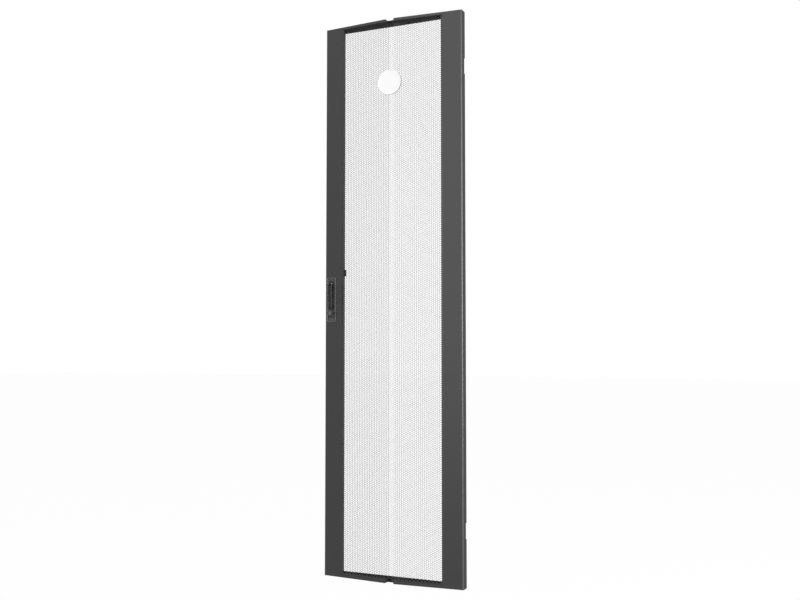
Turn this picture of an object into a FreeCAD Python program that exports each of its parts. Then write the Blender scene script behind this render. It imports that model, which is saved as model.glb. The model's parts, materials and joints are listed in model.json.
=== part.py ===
import FreeCAD, Part
import math
import os
import re
import Sketcher

# Perforated rack door: a folded steel leaf with an inner frame, two lift-off hinges
# and a swing handle that drives two locking rods. Sizes are millimetres.
# The origin is on the hinge axis, at the shoulder of the lower hinge pin;
# the front looks along -Y, the leaf reaches out along -X and Z is up.
SIZES = [
    ("width", 597, "leaf, outside of one side fold to the other"),
    ("height", 2226, "leaf"),
    ("crease_depth", 24, "how far the middle crease stands in front of the side folds"),
    ("return_depth", 35, "side returns, from the fold to their rear edge"),
    ("skin", 1.2, "sheet of the leaf"),
    ("bend", 4, "outside radius of the side folds"),
    ("crease_bend", 12, "outside radius of the middle crease"),
    ("edge_bend", 1, "outside radius of the top and bottom folds"),
    ("flange_depth", 27, "top and bottom flanges, to their rear edge"),
    ("corner_gap", 1, "open corner between a flange and a return"),
    ("notch_mouth", 38, "relief notch of the crease, width at the edge"),
    ("notch_floor", 18, "relief notch, width at its floor"),
    ("notch_drop", 18.5, "relief notch, depth"),
    ("field_inset", 78, "plain strip beside the perforated field"),
    ("field_margin", 11, "plain border above and below the field"),
    ("crease_band", 3, "plain band on each side of the crease"),
    ("hole_share", 0.88, "hole against its cell"),
    ("gauge", 1.5, "sheet of the inner frame, gear case and cover"),
    ("stile_inset", 84.5, "side fold to the inner face of a stile"),
    ("stile_foot", 12, "stile flange against the leaf"),
    ("stile_lip", 12, "stile flange at the back"),
    ("rail_height", 18.8, "top and bottom rails"),
    ("rail_setback", 19, "side folds to the upright leg of the rails"),
    ("rail_front", 8, "side folds to the ends of the rails' flat leg"),
    ("nose_half", 200, "crease to the corners of the rails' nose"),
    ("nose_proud", 4, "rails' nose in front of the side folds"),
    ("end_gap", 1, "rail ends to the side returns"),
    ("badge_radius", 51, "plain round badge"),
    ("badge_thick", 3, "badge in front of the crease"),
    ("badge_skirt", 5, "badge behind the crease line"),
    ("badge_drop", 258.5, "top edge to the badge's centre"),
    ("badge_slope", 1.5, "badge, sloped edge"),
    ("hinge_inset", 11, "right side fold to the hinge axis"),
    ("hinge_setback", 23, "side folds to the hinge axis"),
    ("hinge_end", 215, "leaf's end to the middle of the nearest hinge notch"),
    ("hinge_notch", 61, "length of a hinge notch"),
    ("notch_depth", 7, "hinge notch, from the return's rear edge"),
    ("notch_gap", 1, "bracket plate to the hinge notch"),
    ("bracket_gauge", 3, "hinge bracket"),
    ("bracket_reach", 21, "ear of a hinge bracket"),
    ("bracket_tail", 16, "bracket plate below its notch"),
    ("pin_radius", 4, "hinge pin"),
    ("pin_free", 20, "hinge pin below its ear"),
    ("pin_tenon", 3, "hinge pin in its ear, radius"),
    ("pin_flats", 10, "head of a hinge pin across its flats"),
    ("pin_head", 3, "head of a hinge pin, height"),
    ("pin_lead", 1.2, "chamfer on a hinge pin's free end"),
    ("strip_gap", 0.85, "side fold's bend to the rod guides"),
    ("handle_height", 1173.5, "leaf's bottom edge to the handle's axis"),
    ("dish_width", 43, "handle dish"),
    ("dish_rise", 24, "handle's axis to the dish's top"),
    ("dish_tail", 36, "key lock's axis to the dish's foot"),
    ("dish_corner", 5, "dish, corner radius"),
    ("dish_rim", 3, "dish rim in front of the leaf"),
    ("dish_slope", 1, "dish rim, sloped edge"),
    ("rim_width", 3.2, "dish rim"),
    ("rim_lap", 4, "dish rim over the leaf beside its tub"),
    ("tub_inset", 7, "dish end to the end of its tub"),
    ("tub_wall", 3, "tub walls and floor"),
    ("cutout_gap", 0.6, "leaf cut-out around the tub"),
    ("mount_depth", 13, "leaf's face to the back of dish and stile, where the gear case sits"),
    ("deck_drop", 2, "rim to the deck of the dish"),
    ("scoop_depth", 5, "lower scoop of the dish, below the leaf's face"),
    ("scoop_step", 1.5, "lock's boss to the lower scoop"),
    ("ramp_lip", 1, "tub's end to the foot of the scoop's ramp"),
    ("ramp_rise", 8, "scoop's ramp, height"),
    ("bore_radius", 8, "drum's bore in the dish"),
    ("running_gap", 0.05, "turning pieces in their bores"),
    ("seat_gap", 0.1, "turning pieces against flat seats"),
    ("slide_gap", 0.3, "sliding pieces in their guides"),
    ("collar_lip", 2.5, "drum's collar past its bore"),
    ("collar_proud", 0.8, "drum's collar in front of the dish's rim"),
    ("lever_gap", 0.5, "lever in front of the drum's collar"),
    ("tenon", 8, "drum's tenon between the lever's cheeks"),
    ("fork_gap", 0.3, "tenon to each cheek"),
    ("knuckle", 5.7, "rounded end of lever and tenon"),
    ("lever_pin_radius", 2.5, "lever's pin"),
    ("pin_cap_radius", 3.6, "caps of the lever's pin"),
    ("pin_cap", 1, "caps of the lever's pin"),
    ("lever_width", 17.5, "lever"),
    ("lever_length", 106, "lever, pin to tip"),
    ("lever_slope", 2, "lever, sloped front edges"),
    ("lever_shell", 3, "lever's walls around its hollow back"),
    ("fork_clear", 1, "lever's slot past the tenon's turning corner"),
    ("step_lip", 2.2, "stepped tip of the lever, behind the lock's tongue"),
    ("step_rise", 3.1, "lever's front past its stepped tip and the tongue"),
    ("step_clear", 2, "stepped tip past the end of the lock's tongue"),
    ("spindle", 8, "square spindle of the drum"),
    ("spindle_fit", 0.1, "square spindle in the pinion"),
    ("gear_module", 1.8, "pinion and racks"),
    ("backlash", 0.25, "pinion and racks"),
    ("rod_width", 8, "locking rods"),
    ("rod_thick", 5, "locking rods"),
    ("rod_gap", 1.5, "gear case floor to the rods"),
    ("rod_clear", 12, "rod ends to the rails"),
    ("rod_bevel", 5, "bevelled end of a rod"),
    ("rack_below", 13, "rack's end past the handle's axis"),
    ("case_margin", 1, "gear case past its screw bosses"),
    ("boss_gap", 2.6, "screw bosses of the gear case to the pinion"),
    ("boss_half", 3.5, "square screw bosses of the gear case, half width"),
    ("screw_radius", 1.5, "small screws"),
    ("screw_bore", 0.15, "small screws in their holes"),
    ("screw_bite", 2.2, "small screws in the back of the dish"),
    ("screw_flats", 5.5, "small screws' heads across their flats"),
    ("screw_head", 2, "small screws"),
    ("ear_step", 3, "gear case to the lower edge of its lug"),
    ("ear_height", 26, "lug of the gear case"),
    ("ear_over", 5.5, "lug past the stile's inner face"),
    ("rivet_radius", 2, "rivet of the lug"),
    ("rivet_head_radius", 3.6, "rivet of the lug"),
    ("rivet_head", 1.4, "rivet of the lug"),
    ("clamp_gauge", 2, "saddle clamps of the dish"),
    ("clamp_height", 14, "saddle clamps of the dish"),
    ("clamp_gap", 0.5, "saddle clamps beside the tub"),
    ("clamp_upper", 58, "handle's axis down to the upper clamp"),
    ("clamp_step", 20, "key lock's axis down to the lower clamp"),
    ("guide_wall", 1.5, "rod guides"),
    ("guide_height", 16, "rod guides"),
    ("guide_near", 260, "handle's axis to the nearer guide of a rod"),
    ("guide_far", 70, "rail to the further guide of a rod"),
    ("lock_clear", 6.5, "lever's tip to the head of the lock plug"),
    ("lock_radius", 6, "lock plug"),
    ("lock_wall", 3.5, "boss around the lock plug"),
    ("lock_lip", 1.5, "lock plug's head past its bore"),
    ("lock_head", 3, "lock plug's head"),
    ("key_length", 8, "key slot"),
    ("key_width", 1.6, "key slot"),
    ("tongue_thick", 2, "lock's tongue"),
    ("tongue_width", 6, "lock's tongue"),
    ("tongue_bite", 6, "lock's tongue over the lever's tip"),
    ("tongue_gap", 0.5, "tongue to the boss and to the lever's tip"),
    ("washer_thick", 1.5, "washers behind lock and spindle"),
    ("washer_lip", 2, "square washers past the bores they cover"),
    ("stud_inset", 45, "right side fold to the earth stud"),
    ("stud_height", 150, "leaf's bottom edge to the earth stud"),
    ("stud_radius", 3, "earth stud"),
    ("stud_length", 16, "earth stud"),
    ("nut_place", 5, "leaf to the earth nut"),
    ("nut_flats", 10, "earth nut across its flats"),
    ("nut_thick", 5, "earth nut"),
]
HOLE_COLUMNS = 3     # on each side of the crease
HOLE_ROWS = 16
PINION_TEETH = 14
RACK_TEETH = 8
PRESSURE = 20        # degrees

# Values worked out from the sizes, written with the sizes' names.
DERIVED = {
    "half": "width / 2",
    "fold": "atan(crease_depth / half)",
    "inside_crease": "skin / cos(fold) - crease_depth",
    "inside_fold": "skin / cos(fold) - crease_depth * skin / half",
    "hinge_rise": "hinge_end + hinge_notch / 2",
    "rail_half": "half - skin - end_gap",
    "column": f"(half - field_inset - crease_band) / ({HOLE_COLUMNS - 1} + 4 / 3 * hole_share)",
    "row": f"(height - 2 * field_margin) / ({HOLE_ROWS} - 0.5 + hole_share)",
    "deck": "dish_rim - deck_drop",
    "tub_width": "dish_width - 2 * rim_lap",
    "collar_radius": "bore_radius + collar_lip",
    "collar_front": "dish_rim + collar_proud",
    "pin_line": "collar_front + lever_gap + knuckle",
    "fork_reach": "sqrt((knuckle + lever_gap) * (knuckle + lever_gap) + knuckle * knuckle) + fork_clear",
    "lock_head_radius": "lock_radius + lock_lip",
    "lock_boss": "lock_radius + lock_wall",
    "lock_gap": "lock_head_radius + lock_clear",
    "lock_drop": "lever_length + lock_gap",
    "dish_foot": "lock_drop + dish_tail",
    "clamp_lower": "lock_drop + clamp_step",
    "pocket_half": "tub_width / 2 - tub_wall",
    "lever_back": "pin_line - knuckle",
    "tongue_back": "lever_back + step_lip + tongue_gap",
    "tongue_reach": "lock_gap + tongue_bite",
    "step_length": "tongue_bite + step_clear",
    "lever_tip": "tongue_front + tongue_gap + step_rise",
    "pitch_radius": f"gear_module * {PINION_TEETH} / 2",
    "tooth_pitch": "gear_module * pi",
    "rack_root": "pitch_radius + 1.25 * gear_module",
    "rack_tip": "pitch_radius - 0.8 * gear_module",
    "rod_outer": "rack_root + rod_width",
    "handle_inset": "bend + strip_gap + guide_wall + slide_gap + rod_outer",
    "rod_front": "mount_depth + gauge + rod_gap",
    "rod_back": "rod_front + rod_thick",
    "case_side": "rod_outer + slide_gap + gauge",
    "case_back": "rod_back + slide_gap",
    "boss_place": "pitch_radius + gear_module + boss_gap + boss_half",
    "case_half": "boss_place + boss_half + case_margin",
    "ear_start": "case_half + ear_step",
    "cover_back": "case_back + gauge",
    "ear_end": "stile_inset + ear_over - handle_inset",
    "ear_middle": "ear_start + ear_height / 2",
    "rivet_inset": "stile_inset - gauge / 2 - stile_lip / 2",
    "clamp_inside": "tub_width / 2 + clamp_gap",
    "rod_top": "height - skin - rail_height - rod_clear - handle_height",
    "rod_foot": "handle_height - skin - rail_height - rod_clear",
    "tongue_front": "tongue_back + tongue_thick",
    "lock_back": "mount_depth + seat_gap",
    "spindle_back": "cover_back + seat_gap",
    "spindle_hole": "0.75 * spindle",
    "spindle_plate": "spindle_hole + washer_lip",
    "lock_plate": "lock_radius + washer_lip",
}

LEAF = ("hinge_inset - half", "-hinge_setback", "-hinge_rise", "0")
LEFT_FACE = ("hinge_inset - width", "-hinge_setback", "-hinge_rise", "-fold")
RIGHT_FACE = ("hinge_inset", "-hinge_setback", "-hinge_rise", "fold")
HANDLE = (
    "hinge_inset - width + handle_inset * cos(fold)",
    "-hinge_setback - handle_inset * sin(fold)",
    "handle_height - hinge_rise",
    "-fold",
)

doc = FreeCAD.newDocument("rack_door")
sheet = doc.addObject("Spreadsheet::Sheet", "Sizes")
for line, (name, number, note) in enumerate(SIZES, start=1):
    sheet.set(f"A{line}", name)
    sheet.set(f"B{line}", str(number))
    sheet.setAlias(f"B{line}", name)
    sheet.set(f"C{line}", note)
doc.recompute()

nodes = []


def formula(text):
    """The sheet formula for a text of sizes' names and derived names."""
    def word(match):
        name = match.group(0)
        if name == "pi":
            return name
        if name in DERIVED:
            return f"({formula(DERIVED[name])})"
        return f"Sizes.{name}"
    return re.sub(r"[a-z]\w*\b(?!\()", word, str(text))


def number(text):
    """The present value of such a text."""
    result = sheet.evalExpression(formula(text))
    return float(getattr(result, "Value", result))


def place(item, frame):
    """Tie an item's placement to the sheet."""
    for axis, text in zip("xyz", frame):
        item.setExpression(f"Placement.Base.{axis}", formula(text))
    item.setExpression("Placement.Rotation.Angle", formula(frame[3]))


def new_body(label, frame):
    """A body for one sub-part, which is also one exported node."""
    body = doc.addObject("PartDesign::Body", label)
    body.AllowCompound = True
    place(body, frame)
    nodes.append(body)
    return body


def origin_part(body, role):
    """A plane or an axis of the body's own origin."""
    return next(item for item in body.Origin.OriginFeatures if item.Role == role)


def new_sketch(body, plane, lift="0"):
    """An empty sketch on a plane of the body, moved along the plane's normal by lift."""
    sketch = body.newObject("Sketcher::SketchObject", f"{body.Label}_sketch")
    sketch.AttachmentSupport = [(origin_part(body, plane), "")]
    sketch.MapMode = "FlatFace"
    sketch.setExpression("AttachmentOffset.Base.z", formula(lift))
    return sketch


def tie(sketch, edge, end, across, up):
    """Tie one point of a sketch to the sheet."""
    for kind, text in (("DistanceX", across), ("DistanceY", up)):
        limit = Sketcher.Constraint(kind, -1, 1, edge, end, number(text))
        spot = sketch.addConstraint(limit)
        sketch.setExpression(f"Constraints[{spot}]", formula(text))


def outline(sketch, corners):
    """Add a closed outline of straight edges, every corner tied to the sheet."""
    first = sketch.GeometryCount
    points = [FreeCAD.Vector(number(across), number(up), 0) for across, up in corners]
    for start, end in zip(points, points[1:] + points[:1]):
        sketch.addGeometry(Part.LineSegment(start, end))
    total = len(corners)
    for i, (across, up) in enumerate(corners):
        sketch.addConstraint(Sketcher.Constraint("Coincident", first + i, 1, first + (i - 1) % total, 2))
        tie(sketch, first + i, 1, across, up)
    return sketch


def rectangle(sketch, left, right, low, high):
    """Add a rectangle given by its four sides."""
    return outline(sketch, [(left, low), (right, low), (right, high), (left, high)])


def circle(sketch, across, up, radius):
    """Add a circle tied to the sheet."""
    middle = FreeCAD.Vector(number(across), number(up), 0)
    edge = sketch.addGeometry(Part.Circle(middle, FreeCAD.Vector(0, 0, 1), number(radius)))
    tie(sketch, edge, 3, across, up)
    spot = sketch.addConstraint(Sketcher.Constraint("Radius", edge, number(radius)))
    sketch.setExpression(f"Constraints[{spot}]", formula(radius))
    return sketch


def hexagon(sketch, across, up, flats):
    """Add a regular hexagon, given across its flats."""
    corners = []
    for turn in range(0, 360, 60):
        right = f"{across} + {flats} / 2 / cos(30) * cos({turn})"
        high = f"{up} + {flats} / 2 / cos(30) * sin({turn})"
        corners.append((right, high))
    return outline(sketch, corners)


def pad(body, sketch, length, back=False, both=False):
    """Add material along the sketch's normal, or against it, or half each way."""
    feature = body.newObject("PartDesign::Pad", f"{body.Label}_pad")
    feature.Profile = sketch
    feature.Reversed = back
    feature.SideType = "Symmetric" if both else "One side"
    feature.setExpression("Length", formula(length))
    sketch.Visibility = False
    return feature


def pocket(body, sketch, depth=None, back=False):
    """Cut against the sketch's normal, or along it if back; with no depth, cut right through."""
    feature = body.newObject("PartDesign::Pocket", f"{body.Label}_pocket")
    feature.Profile = sketch
    feature.Reversed = back
    if depth is None:
        feature.Type = "ThroughAll"
        feature.SideType = "Symmetric"
    else:
        feature.setExpression("Length", formula(depth))
    sketch.Visibility = False
    return feature


def pocket_width(body, sketch, width):
    """Cut half of a width each way from the sketch."""
    feature = pocket(body, sketch, width)
    feature.SideType = "Symmetric"
    return feature


def soften(body, kind, size, chosen):
    """Fillet or chamfer the edges of the body that the test picks by their middle and direction."""
    doc.recompute()
    base = body.Tip
    names = []
    for i, edge in enumerate(base.Shape.Edges, start=1):
        middle = edge.CenterOfMass
        along = edge.tangentAt(edge.FirstParameter)
        if chosen(middle, along, edge):
            names.append(f"Edge{i}")
    feature = body.newObject(f"PartDesign::{kind}", f"{body.Label}_{kind.lower()}")
    feature.Base = (base, names)
    feature.setExpression("Radius" if kind == "Fillet" else "Size", formula(size))
    body.Tip = feature
    return feature


def near(a, b):
    return abs(a - b) < 0.01


def upright(x, y):
    """A test for the vertical edges that stand at x and y."""
    def chosen(middle, along, edge):
        return abs(along.z) > 0.99 and near(abs(middle.x), number(x)) and near(middle.y, number(y))
    return chosen


def face_line(distance):
    """Middle of the leaf's sheet at a distance from the crease."""
    return f"crease_depth * ({distance}) / half - crease_depth + skin / 2"


# The leaf: one folded sheet.
leaf = new_body("door_skin", LEAF)
profile = new_sketch(leaf, "XY_Plane")
outline(profile, [
    ("-half", "return_depth"),
    ("-half", "0"),
    ("0", "-crease_depth"),
    ("half", "0"),
    ("half", "return_depth"),
    ("half - skin", "return_depth"),
    ("half - skin", "inside_fold"),
    ("0", "inside_crease"),
    ("skin - half", "inside_fold"),
    ("skin - half", "return_depth"),
])
pad(leaf, profile, "height")
soften(leaf, "Fillet", "bend", upright("half", "0"))
soften(leaf, "Fillet", "bend - skin", upright("half - skin", "inside_fold"))
soften(leaf, "Fillet", "crease_bend", upright("0", "-crease_depth"))
soften(leaf, "Fillet", "crease_bend - skin", upright("0", "inside_crease"))

flange_out = "half - skin - corner_gap"
flange_in = "notch_mouth / 2"
for lift in ("0", "height - skin"):
    flanges = new_sketch(leaf, "XY_Plane", lift)
    for side in ("-1", "1"):
        outline(flanges, [
            (f"{side} * ({flange_in})", face_line(flange_in)),
            (f"{side} * ({flange_out})", face_line(flange_out)),
            (f"{side} * ({flange_out})", "flange_depth"),
            (f"{side} * ({flange_in})", "flange_depth"),
        ])
    pad(leaf, flanges, "skin")

soften(leaf, "Fillet", "edge_bend", lambda middle, along, edge: (
    abs(along.x) > 0.99 and edge.Length > number("half / 2")
    and near(middle.y, number(face_line(f"{abs(middle.x)}")) - number("skin / 2"))
    and (near(middle.z, 0) or near(middle.z, number("height")))))

notches = new_sketch(leaf, "XZ_Plane")
for edge, inward in (("0", "1"), ("height", "-1")):
    outline(notches, [
        ("-notch_mouth / 2", f"{edge} - {inward} * skin"),
        ("-notch_mouth / 2", edge),
        ("-notch_floor / 2", f"{edge} + {inward} * notch_drop"),
        ("notch_floor / 2", f"{edge} + {inward} * notch_drop"),
        ("notch_mouth / 2", edge),
        ("notch_mouth / 2", f"{edge} - {inward} * skin"),
    ])
pocket(leaf, notches)

cutout = new_sketch(leaf, "XZ_Plane")
cutout_middle = "handle_inset * cos(fold) - half"
rectangle(
    cutout,
    f"{cutout_middle} - tub_width / 2 - cutout_gap",
    f"{cutout_middle} + tub_width / 2 + cutout_gap",
    "handle_height - dish_foot + tub_inset - cutout_gap",
    "handle_height + dish_rise - tub_inset + cutout_gap",
)
pocket(leaf, cutout)

HINGES = {"lower": "hinge_end", "upper": "height - hinge_end"}
hinge_cuts = new_sketch(leaf, "YZ_Plane")
for middle in HINGES.values():
    rectangle(
        hinge_cuts,
        "return_depth - notch_depth",
        "return_depth + skin",
        f"{middle} - hinge_notch / 2",
        f"{middle} + hinge_notch / 2",
    )
hinge_pocket = pocket(leaf, hinge_cuts, "width", back=True)

# Coarse six-sided perforations, staggered from column to column.
holes = new_sketch(leaf, "XZ_Plane")
for side in ("-1", "1"):
    for column in range(HOLE_COLUMNS):
        across = f"{side} * (crease_band + (2 / 3 * hole_share + {column}) * column)"
        up = f"field_margin + row * (hole_share + {column % 2}) / 2"
        outline(holes, [
            (f"{across} - 2 / 3 * column * hole_share", up),
            (f"{across} - column * hole_share / 3", f"{up} - row * hole_share / 2"),
            (f"{across} + column * hole_share / 3", f"{up} - row * hole_share / 2"),
            (f"{across} + 2 / 3 * column * hole_share", up),
            (f"{across} + column * hole_share / 3", f"{up} + row * hole_share / 2"),
            (f"{across} - column * hole_share / 3", f"{up} + row * hole_share / 2"),
        ])
hole = pocket(leaf, holes)
doc.recompute()
perforation = leaf.newObject("PartDesign::LinearPattern", "perforation")
perforation.Originals = [hole]
perforation.Direction = (origin_part(leaf, "Z_Axis"), [""])
perforation.Mode = "Extent"
perforation.setExpression("Length", formula(f"{HOLE_ROWS - 1} * row"))
perforation.Occurrences = HOLE_ROWS
leaf.Tip = perforation

# Inner frame: two stiles against the leaf and two straight angles under its flanges.
for label, frame, side in (("latch_stile", LEFT_FACE, "1"), ("hinge_stile", RIGHT_FACE, "-1")):
    stile = new_body(label, frame)
    section = new_sketch(stile, "XY_Plane", "skin + rail_height")
    outline(section, [
        (f"{side} * stile_inset", "skin"),
        (f"{side} * (stile_inset - stile_foot)", "skin"),
        (f"{side} * (stile_inset - stile_foot)", "skin + gauge"),
        (f"{side} * (stile_inset - gauge)", "skin + gauge"),
        (f"{side} * (stile_inset - gauge)", "mount_depth - gauge"),
        (f"{side} * (stile_inset - stile_lip)", "mount_depth - gauge"),
        (f"{side} * (stile_inset - stile_lip)", "mount_depth"),
        (f"{side} * stile_inset", "mount_depth"),
    ])
    pad(stile, section, "height - 2 * (skin + rail_height)")
    if label == "latch_stile":
        rivet_hole = new_sketch(stile, "XZ_Plane", "-mount_depth")
        circle(rivet_hole, "rivet_inset", "handle_height + ear_middle", "rivet_radius + running_gap")
        pocket(stile, rivet_hole, "2 * gauge", back=True)

for label, seat, low in (
    ("bottom_rail", "skin", "skin"),
    ("top_rail", "height - skin - gauge", "height - skin - rail_height"),
):
    rail = new_body(label, LEAF)
    flat = new_sketch(rail, "XY_Plane", seat)
    outline(flat, [
        ("-rail_half", "rail_setback + gauge"),
        ("-rail_half", "rail_front"),
        ("-nose_half", "-nose_proud"),
        ("nose_half", "-nose_proud"),
        ("rail_half", "rail_front"),
        ("rail_half", "rail_setback + gauge"),
    ])
    pad(rail, flat, "gauge")
    upright = new_sketch(rail, "XZ_Plane", "-rail_setback")
    rectangle(upright, "-rail_half", "rail_half", low, f"{low} + rail_height")
    pad(rail, upright, "gauge", back=True)

# Plain round badge, its back shaped to the crease.
badge = new_body("round_badge", LEAF)
disc = new_sketch(badge, "XZ_Plane", "crease_depth - badge_skirt")
circle(disc, "0", "height - badge_drop", "badge_radius")
pad(badge, disc, "badge_skirt + badge_thick")
behind = new_sketch(badge, "XY_Plane", "height - badge_drop")
outline(behind, [
    ("0", "-crease_depth"),
    ("half", "0"),
    ("half", "return_depth"),
    ("-half", "return_depth"),
    ("-half", "0"),
])
pocket(badge, behind)
soften(badge, "Chamfer", "badge_slope", lambda middle, along, edge: (
    near(middle.y, number("-crease_depth - badge_thick"))))

# Lift-off hinges: a welded bracket with a shouldered pin that points down.
for label, middle in HINGES.items():
    bracket = new_body(f"hinge_bracket_{label}", LEAF)
    shoulder = f"{middle} + hinge_notch / 2"
    plate = new_sketch(bracket, "XY_Plane", f"{middle} - hinge_notch / 2 - bracket_tail")
    rectangle(
        plate,
        "half - skin - bracket_gauge",
        "half - skin",
        "bend",
        "return_depth - notch_depth - notch_gap",
    )
    pad(bracket, plate, "bracket_tail + hinge_notch + bracket_gauge")
    ear = new_sketch(bracket, "XY_Plane", shoulder)
    rectangle(ear, "half - skin - bracket_reach", "half - skin", "bend", "return_depth")
    pad(bracket, ear, "bracket_gauge")
    pin_hole = new_sketch(bracket, "XY_Plane", shoulder)
    circle(pin_hole, "half - hinge_inset", "hinge_setback", "pin_tenon + running_gap")
    pocket(bracket, pin_hole)

    pin = new_body(f"hinge_pin_{label}", LEAF)
    shank = new_sketch(pin, "XY_Plane", f"{shoulder} - pin_free")
    circle(shank, "half - hinge_inset", "hinge_setback", "pin_radius")
    pad(pin, shank, "pin_free")
    neck = new_sketch(pin, "XY_Plane", shoulder)
    circle(neck, "half - hinge_inset", "hinge_setback", "pin_tenon")
    pad(pin, neck, "bracket_gauge")
    head = new_sketch(pin, "XY_Plane", f"{shoulder} + bracket_gauge")
    hexagon(head, "half - hinge_inset", "hinge_setback", "pin_flats")
    pad(pin, head, "pin_head")
    soften(pin, "Chamfer", "pin_lead", lambda middle, along, edge: (
        near(middle.z, number(f"{shoulder} - pin_free"))))

# Handle dish: a rim in front of the leaf, a tub behind it with a finger pocket,
# the drum's bore above it and the lock's boss below.
dish = new_body("handle_dish", HANDLE)
rim = new_sketch(dish, "XZ_Plane")
rectangle(rim, "-dish_width / 2", "dish_width / 2", "-dish_foot", "dish_rise")
pad(dish, rim, "dish_rim")
soften(dish, "Fillet", "dish_corner", lambda middle, along, edge: abs(along.y) > 0.99)
soften(dish, "Chamfer", "dish_slope", lambda middle, along, edge: near(middle.y, number("-dish_rim")))
tub = new_sketch(dish, "XZ_Plane")
rectangle(tub, "-tub_width / 2", "tub_width / 2", "tub_inset - dish_foot", "dish_rise - tub_inset")
pad(dish, tub, "mount_depth", back=True)
deck = new_sketch(dish, "XZ_Plane", "dish_rim")
rectangle(
    deck,
    "rim_width - dish_width / 2",
    "dish_width / 2 - rim_width",
    "rim_width - dish_foot",
    "dish_rise - rim_width",
)
pocket(dish, deck, "deck_drop")
finger = new_sketch(dish, "XZ_Plane", "dish_rim")
rectangle(
    finger,
    "-pocket_half",
    "pocket_half",
    "lock_boss + 2 * tub_wall - lock_drop",
    "-collar_radius - tub_wall",
)
pocket(dish, finger, "dish_rim + mount_depth - tub_wall")
scoop = new_sketch(dish, "YZ_Plane")
scoop_foot = "tub_inset + ramp_lip - dish_foot"
scoop_top = "-lock_drop - lock_boss - scoop_step"
outline(scoop, [
    ("-dish_rim", scoop_foot),
    ("-deck", scoop_foot),
    ("scoop_depth", f"{scoop_foot} + ramp_rise"),
    ("scoop_depth", scoop_top),
    ("-dish_rim", scoop_top),
])
pocket_width(dish, scoop, "2 * pocket_half")
boss = new_sketch(dish, "XZ_Plane", "deck")
circle(boss, "0", "-lock_drop", "lock_boss")
pad(dish, boss, "tongue_back - tongue_gap - deck")
bores = new_sketch(dish, "XZ_Plane")
circle(bores, "0", "0", "bore_radius")
circle(bores, "0", "-lock_drop", "lock_radius")
pocket(dish, bores)
screw_holes = new_sketch(dish, "XZ_Plane", "-mount_depth")
SCREW_PLACES = ("boss_place", "-boss_place", "-clamp_upper", "-clamp_lower")
for up in SCREW_PLACES:
    circle(screw_holes, "0", up, "screw_radius + screw_bore")
pocket(dish, screw_holes, "screw_bite + screw_bore", back=True)

# Saddle clamps that pull the dish against the leaf.
for label, drop in (("upper", "clamp_upper"), ("lower", "clamp_lower")):
    clamp = new_body(f"dish_clamp_{label}", HANDLE)
    saddle = new_sketch(clamp, "XY_Plane", f"-{drop} - clamp_height / 2")
    outline(saddle, [
        ("-clamp_inside - clamp_gauge", "skin"),
        ("-clamp_inside", "skin"),
        ("-clamp_inside", "mount_depth"),
        ("clamp_inside", "mount_depth"),
        ("clamp_inside", "skin"),
        ("clamp_inside + clamp_gauge", "skin"),
        ("clamp_inside + clamp_gauge", "mount_depth + clamp_gauge"),
        ("-clamp_inside - clamp_gauge", "mount_depth + clamp_gauge"),
    ])
    pad(clamp, saddle, "clamp_height")
    clamp_hole = new_sketch(clamp, "XZ_Plane")
    circle(clamp_hole, "0", f"-{drop}", "screw_radius + screw_bore")
    pocket(clamp, clamp_hole)


def screws(label, seat, places):
    """A group of like screws whose heads sit on a plane behind the leaf's face."""
    group = new_body(label, HANDLE)
    shanks = new_sketch(group, "XZ_Plane", "screw_bite - mount_depth")
    heads = new_sketch(group, "XZ_Plane", f"-({seat})")
    for up in places:
        circle(shanks, "0", up, "screw_radius")
        hexagon(heads, "0", up, "screw_flats")
    pad(group, shanks, f"{seat} - mount_depth + screw_bite", back=True)
    pad(group, heads, "screw_head", back=True)
    return group


screws("clamp_screws", "mount_depth + clamp_gauge", SCREW_PLACES[2:])

# Gear case behind the dish, with a lug that is riveted to the latch stile.
case = new_body("gear_case", HANDLE)
base = new_sketch(case, "XZ_Plane", "-mount_depth")
outline(base, [
    ("-case_side", "-case_half"),
    ("case_side", "-case_half"),
    ("case_side", "ear_start"),
    ("ear_end", "ear_start"),
    ("ear_end", "ear_start + ear_height"),
    ("0", "ear_start + ear_height"),
    ("0", "case_half"),
    ("-case_side", "case_half"),
])
pad(case, base, "gauge", back=True)
walls = new_sketch(case, "XZ_Plane", "-mount_depth")
rectangle(walls, "-case_side", "gauge - case_side", "-case_half", "case_half")
rectangle(walls, "case_side - gauge", "case_side", "-case_half", "case_half")
for up in SCREW_PLACES[:2]:
    rectangle(walls, "-boss_half", "boss_half", f"{up} - boss_half", f"{up} + boss_half")
pad(case, walls, "case_back - mount_depth", back=True)
case_holes = new_sketch(case, "XZ_Plane")
circle(case_holes, "0", "0", "bore_radius")
circle(case_holes, "rivet_inset - handle_inset", "ear_middle", "rivet_radius + running_gap")
for up in SCREW_PLACES[:2]:
    circle(case_holes, "0", up, "screw_radius + screw_bore")
pocket(case, case_holes)

cover = new_body("gear_cover", HANDLE)
lid = new_sketch(cover, "XZ_Plane", "-case_back")
rectangle(lid, "-case_side", "case_side", "-case_half", "case_half")
pad(cover, lid, "gauge", back=True)
cover_holes = new_sketch(cover, "XZ_Plane")
circle(cover_holes, "0", "0", "spindle_hole")
for up in SCREW_PLACES[:2]:
    circle(cover_holes, "0", up, "screw_radius + screw_bore")
pocket(cover, cover_holes)
screws("gear_screws", "cover_back", SCREW_PLACES[:2])

rivet = new_body("case_rivet", HANDLE)
rivet_parts = (
    ("gauge + rivet_head - mount_depth", "rivet_head", "rivet_head_radius"),
    ("gauge - mount_depth", "2 * gauge", "rivet_radius"),
    ("-mount_depth - gauge", "rivet_head", "rivet_head_radius"),
)
for lift, length, radius in rivet_parts:
    section = new_sketch(rivet, "XZ_Plane", lift)
    circle(section, "rivet_inset - handle_inset", "ear_middle", radius)
    pad(rivet, section, length, back=True)

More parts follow.
